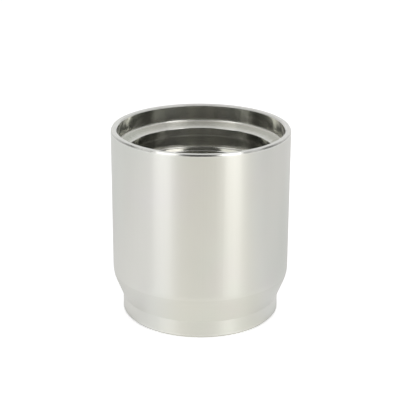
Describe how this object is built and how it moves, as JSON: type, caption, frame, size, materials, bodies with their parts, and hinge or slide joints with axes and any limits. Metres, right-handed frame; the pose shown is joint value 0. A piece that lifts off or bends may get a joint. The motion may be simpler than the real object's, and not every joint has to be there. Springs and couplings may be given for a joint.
{
  "type": "crimp hose ferrule",
  "caption": "Turned steel sleeve with a stepped mouth, ribbed bore and necked end with an inward lip, squeezed over a hose end to clamp it on a nipple.",
  "frame": {"origin": "centre of the foot of the neck, on the surface that it stands on", "axes": "+Z along the axis of the sleeve, from the neck to the mouth; X and Y are across it"},
  "size_m": [0.058, 0.058, 0.0625],
  "materials": {
    "plated_steel": "turned carbon steel with a bright plated surface and fine lathe marks round the axis"
  },
  "bodies": {
    "root": {"ferrule": "plated_steel"}
  },
  "joints": []
}
